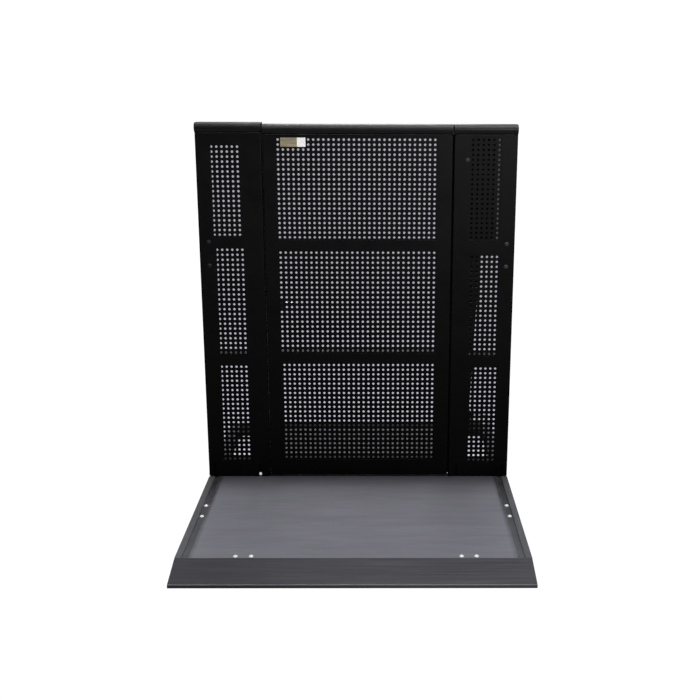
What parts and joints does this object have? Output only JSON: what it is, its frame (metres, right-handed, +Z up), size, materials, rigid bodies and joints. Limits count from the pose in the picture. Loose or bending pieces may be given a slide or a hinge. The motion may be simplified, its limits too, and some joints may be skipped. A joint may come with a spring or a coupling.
{
  "type": "stage crowd barrier door section",
  "caption": "Folding crowd-barrier section with a perforated door between two jambs, a rounded hand rail, a tread deck with toe ramp, and rear struts.",
  "frame": {"origin": "on the floor, under the middle of the upright's front face", "axes": "+X to the right as the audience sees it, +Y towards the stage side, +Z up"},
  "size_m": [1, 1.1535, 1.205],
  "materials": {
    "black_paint": "satin black powder coat",
    "sheet_paint": "satin black powder coat on perforated sheet",
    "deck_aluminium": "worn brushed mill finish",
    "zinc_steel": "zinc plated",
    "rubber": "matte",
    "label": "printed film"
  },
  "bodies": {
    "base": {"side_rail_left": "deck_aluminium", "side_rail_right": "deck_aluminium", "rail_screws_left": "zinc_steel", "rail_screws_right": "zinc_steel", "floor_pad_left": "rubber", "floor_pad_right": "rubber", "floor_pad_centre": "rubber", "front_deck": "deck_aluminium", "ramp_screws_left": "zinc_steel", "ramp_screws_right": "zinc_steel", "toe_ramp": "deck_aluminium", "front_beam": "black_paint", "deck_beam": "black_paint", "centre_beam": "black_paint", "rear_deck": "deck_aluminium", "rear_beam": "black_paint", "fold_pin_left": "zinc_steel", "fold_pin_right": "zinc_steel", "strut_foot_pin_left": "zinc_steel", "strut_foot_pin_right": "zinc_steel"},
    "right_jamb": {"right_jamb_frame": "black_paint", "right_jamb_rail": "black_paint", "right_coupling_screws": "zinc_steel", "right_jamb_sheet_top": "sheet_paint", "right_jamb_sheet_middle": "sheet_paint", "right_jamb_sheet_bottom": "sheet_paint", "right_jamb_stiffener": "black_paint", "right_strut_bracket": "black_paint", "right_strut_head_pin": "zinc_steel", "lower_hinge_jamb_leaf": "black_paint", "upper_hinge_jamb_leaf": "black_paint", "lower_hinge_pin": "zinc_steel", "upper_hinge_pin": "zinc_steel"},
    "left_jamb": {"left_jamb_frame": "black_paint", "left_jamb_rail": "black_paint", "left_coupling_screws": "zinc_steel", "left_jamb_sheet_top": "sheet_paint", "left_jamb_sheet_middle": "sheet_paint", "left_jamb_sheet_bottom": "sheet_paint", "left_strut_bracket": "black_paint", "left_strut_head_pin": "zinc_steel", "latch_keeper": "zinc_steel"},
    "door": {"door_frame": "black_paint", "door_rail": "black_paint", "door_edge_seal": "rubber", "label_plate": "label", "door_sheet_top": "sheet_paint", "door_sheet_middle": "sheet_paint", "door_sheet_bottom": "sheet_paint", "lower_hinge_door_leaf": "black_paint", "upper_hinge_door_leaf": "black_paint", "latch_housing": "zinc_steel", "drop_bolt_guide": "zinc_steel", "door_handle": "black_paint"},
    "latch_bolt": {"latch_bolt": "zinc_steel"},
    "drop_bolt": {"drop_bolt": "zinc_steel"},
    "left_strut": {"left_strut": "black_paint"},
    "right_strut": {"right_strut": "black_paint"},
    "left_lock": {"left_lock_pin": "zinc_steel"},
    "right_lock": {"right_lock_pin": "zinc_steel"}
  },
  "joints": [
    {"name": "right_fold", "type": "hinge", "parent": "base", "child": "right_jamb", "pos_m": [0, 0.02, 0.072], "axis": [1, 0, 0], "range_deg": [0, 90]},
    {"name": "left_fold", "type": "hinge", "parent": "base", "child": "left_jamb", "pos_m": [0, 0.02, 0.072], "axis": [1, 0, 0], "range_deg": [0, 90]},
    {"name": "door_swing", "type": "hinge", "parent": "right_jamb", "child": "door", "pos_m": [0.3005, 0.056, 0.6], "axis": [0, 0, -1], "range_deg": [0, 90]},
    {"name": "latch_slide", "type": "slide", "parent": "door", "child": "latch_bolt", "axis": [-1, 0, 0], "range_m": [0, 0.025]},
    {"name": "drop_bolt_slide", "type": "slide", "parent": "door", "child": "drop_bolt", "axis": [0, 0, -1], "range_m": [0, 0.028]},
    {"name": "right_strut_swing", "type": "hinge", "parent": "right_jamb", "child": "right_strut", "pos_m": [0.388, 0.066, 1.06], "axis": [-1, 0, 0], "range_deg": [0, 21.41]},
    {"name": "left_strut_swing", "type": "hinge", "parent": "left_jamb", "child": "left_strut", "pos_m": [-0.336, 0.066, 1.06], "axis": [-1, 0, 0], "range_deg": [0, 21.41]},
    {"name": "right_lock_slide", "type": "slide", "parent": "base", "child": "right_lock", "axis": [-1, 0, 0], "range_m": [0, 0.025]},
    {"name": "left_lock_slide", "type": "slide", "parent": "base", "child": "left_lock", "axis": [1, 0, 0], "range_m": [0, 0.025]}
  ],
  "couplings": [
    {"joint": "left_fold", "follows": "right_fold", "ratio": 1},
    {"joint": "right_strut_swing", "follows": "right_fold", "ratio": 0.23778},
    {"joint": "left_strut_swing", "follows": "right_fold", "ratio": 0.23778}
  ]
}
